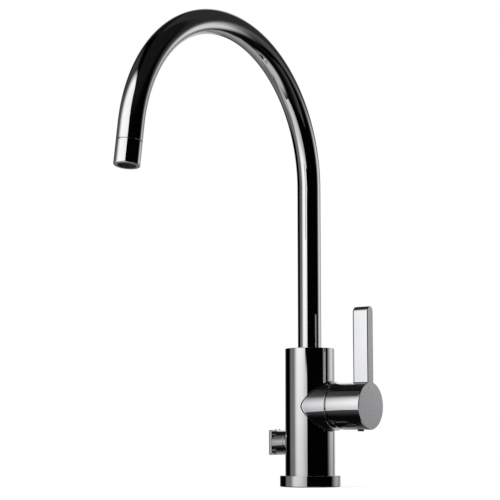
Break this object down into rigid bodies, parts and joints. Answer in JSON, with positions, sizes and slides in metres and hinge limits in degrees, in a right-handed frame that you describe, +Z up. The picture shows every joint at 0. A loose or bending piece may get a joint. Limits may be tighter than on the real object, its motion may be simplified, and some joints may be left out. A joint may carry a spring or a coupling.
{
  "type": "kitchen mixer tap",
  "caption": "Deck-mounted kitchen mixer tap with a high arched swivel spout, a side lever and a shut-off knob low on the other side.",
  "frame": {"origin": "centre of the foot's underside, on the worktop", "axes": "+Z up along the column, the spout reaches towards -Y, the lever's axis points along +X and the shut-off knob along -X"},
  "size_m": [0.1049, 0.3004, 0.417],
  "materials": {
    "chrome": "polished",
    "brass": "machined",
    "steel": "machined",
    "rubber": "smooth",
    "ceramic": "lapped",
    "cartridge_plastic": "moulded",
    "dark_plastic": "moulded"
  },
  "bodies": {
    "tap_body": {"base_flange": "chrome", "base_gasket": "rubber", "body_housing": "chrome", "manifold_core": "brass", "spout_bush": "dark_plastic", "spout_retaining_ring": "brass", "spout_lock_screw": "steel", "cartridge_base": "cartridge_plastic", "cartridge_seal_1": "rubber", "cartridge_seal_2": "rubber", "cartridge_seal_3": "rubber", "cartridge_fixed_disc": "ceramic", "cartridge_housing": "cartridge_plastic", "cartridge_nut": "brass", "dome_cover": "chrome", "valve_fixed_disc": "ceramic", "valve_bonnet": "brass"},
    "spout": {"spout_tube": "chrome", "spout_foot": "brass", "spout_seal_lower": "rubber", "spout_seal_upper": "rubber", "aerator_sleeve": "chrome", "aerator_gasket": "rubber", "aerator_straightener": "dark_plastic", "aerator_spacer": "dark_plastic", "aerator_grille": "dark_plastic"},
    "cartridge_rotor": {"cartridge_moving_disc": "ceramic", "cartridge_carrier": "cartridge_plastic", "cartridge_pin": "steel"},
    "lever_body": {"lever": "chrome", "cartridge_stem": "steel", "lever_set_screw": "steel", "lever_plug": "dark_plastic"},
    "stop_valve_knob": {"valve_moving_disc": "ceramic", "knob_spindle": "steel", "knob_collar": "chrome", "knob_screw": "steel", "knob_plate": "chrome"}
  },
  "joints": [
    {"name": "spout_swivel", "type": "hinge", "parent": "tap_body", "child": "spout", "pos_m": [0, 0, 0.105], "axis": [0, 0, 1], "range_deg": [-60, 60]},
    {"name": "lever_temperature", "type": "hinge", "parent": "tap_body", "child": "cartridge_rotor", "pos_m": [0.0307, 0, 0.073], "axis": [1, 0, 0], "range_deg": [-45, 45]},
    {"name": "lever_flow", "type": "hinge", "parent": "cartridge_rotor", "child": "lever_body", "pos_m": [0.0307, 0, 0.073], "axis": [0, 1, 0], "range_deg": [0, 20]},
    {"name": "stop_valve_turn", "type": "hinge", "parent": "tap_body", "child": "stop_valve_knob", "pos_m": [-0.03, 0, 0.0402], "axis": [-1, 0, 0], "range_deg": [0, 90]}
  ]
}
